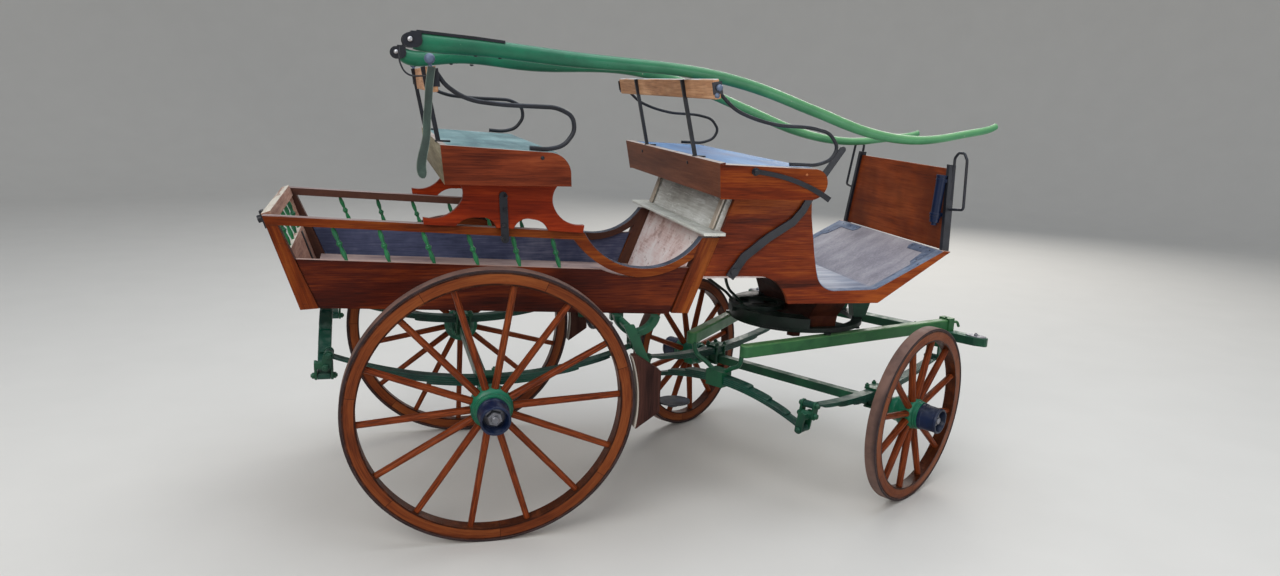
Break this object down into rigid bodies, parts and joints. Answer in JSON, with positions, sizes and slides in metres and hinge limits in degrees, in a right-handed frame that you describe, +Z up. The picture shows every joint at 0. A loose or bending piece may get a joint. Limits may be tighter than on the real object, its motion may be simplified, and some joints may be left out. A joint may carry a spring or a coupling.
{
  "type": "horse drawn carriage",
  "caption": "Four-wheel pony break with a driver's seat, a raised rear seat, spindle-railed body, turntable fore-carriage and a pair of shafts stowed over the seat backs.",
  "frame": {"origin": "on the ground under the middle of the carriage's box", "axes": "+X towards the front, +Y to the carriage's left, +Z up"},
  "size_m": [2.9519, 1.5551, 1.745],
  "materials": {
    "varnished_oak": "satin varnish over the grain",
    "mahogany_panel": "gloss varnish",
    "weathered_board": "worn bare wood",
    "seat_board": "worn grey-blue paint",
    "green_paint": "gloss",
    "green_wood": "gloss green paint",
    "black_iron": "satin black",
    "tyre_iron": "worn bare iron"
  },
  "bodies": {
    "carriage": {"body_floor": "weathered_board", "boot_rear_panel": "weathered_board", "boot_side_left": "varnished_oak", "boot_side_right": "varnished_oak", "brake_blocks": "varnished_oak", "brake_lever": "black_iron", "brake_shaft": "black_iron", "dash_irons": "black_iron", "dashboard": "varnished_oak", "footboard": "weathered_board", "front_seat": "varnished_oak", "front_seat_back": "weathered_board", "front_seat_irons": "black_iron", "front_seat_top": "seat_board", "ledge": "weathered_board", "rail_frame_left": "varnished_oak", "rail_frame_right": "varnished_oak", "rear_axle": "green_paint", "rear_cross_spring": "green_paint", "rear_seat": "varnished_oak", "rear_seat_back": "weathered_board", "rear_seat_irons": "black_iron", "rear_seat_top": "seat_board", "rear_shackles": "green_paint", "rear_springs": "green_paint", "shaft_irons": "black_iron", "shaft_left": "green_wood", "shaft_right": "green_wood", "side_panels": "mahogany_panel", "spindles": "green_wood", "spring_brackets": "green_paint", "steps": "black_iron", "transom": "varnished_oak", "trestles": "varnished_oak", "turntable_bracket": "green_paint", "turntable_upper_ring": "black_iron", "whip_socket": "black_iron"},
    "fore_carriage": {"front_axle": "green_paint", "front_cross_spring": "green_paint", "front_shackles": "green_paint", "front_springs": "green_paint", "futchells": "green_paint", "shaft_couplings": "green_paint", "splinter_bar": "green_paint", "turntable_lower_ring": "green_paint"},
    "tailboard": {"tailboard": "varnished_oak", "tailboard_irons": "black_iron", "tailboard_spindles": "green_wood"},
    "rear_wheel_right": {"rear_wheel_right_hub": "green_paint", "rear_wheel_right_spokes": "varnished_oak", "rear_wheel_right_tyre": "tyre_iron"},
    "rear_wheel_left": {"rear_wheel_left_hub": "green_paint", "rear_wheel_left_spokes": "varnished_oak", "rear_wheel_left_tyre": "tyre_iron"},
    "front_wheel_right": {"front_wheel_right_hub": "green_paint", "front_wheel_right_spokes": "varnished_oak", "front_wheel_right_tyre": "tyre_iron"},
    "front_wheel_left": {"front_wheel_left_hub": "green_paint", "front_wheel_left_spokes": "varnished_oak", "front_wheel_left_tyre": "tyre_iron"}
  },
  "joints": [
    {"name": "steering", "type": "hinge", "parent": "carriage", "child": "fore_carriage", "pos_m": [0.6593, -0.063, 0.65], "axis": [0, 0, 1], "range_deg": [-106.6, 43.4]},
    {"name": "rear_wheel_right_spin", "type": "hinge", "parent": "carriage", "child": "rear_wheel_right", "pos_m": [-0.7307, -0.665, 0.5001], "axis": [0, 0.9962, 0.0872], "continuous": true},
    {"name": "rear_wheel_left_spin", "type": "hinge", "parent": "carriage", "child": "rear_wheel_left", "pos_m": [-0.7307, 0.539, 0.5001], "axis": [0, 0.9962, -0.0872], "continuous": true},
    {"name": "front_wheel_right_spin", "type": "hinge", "parent": "fore_carriage", "child": "front_wheel_right", "pos_m": [0.97474, -0.57574, 0.35762], "axis": [-0.5236, 0.8511, 0.0384], "continuous": true},
    {"name": "front_wheel_left_spin", "type": "hinge", "parent": "fore_carriage", "child": "front_wheel_left", "pos_m": [0.34386, 0.44974, 0.35762], "axis": [-0.5236, 0.8511, -0.0384], "continuous": true},
    {"name": "tailboard_hinge", "type": "hinge", "parent": "carriage", "child": "tailboard", "pos_m": [-1.3427, -0.063, 0.826], "axis": [0, -1, 0], "range_deg": [0, 150]}
  ]
}
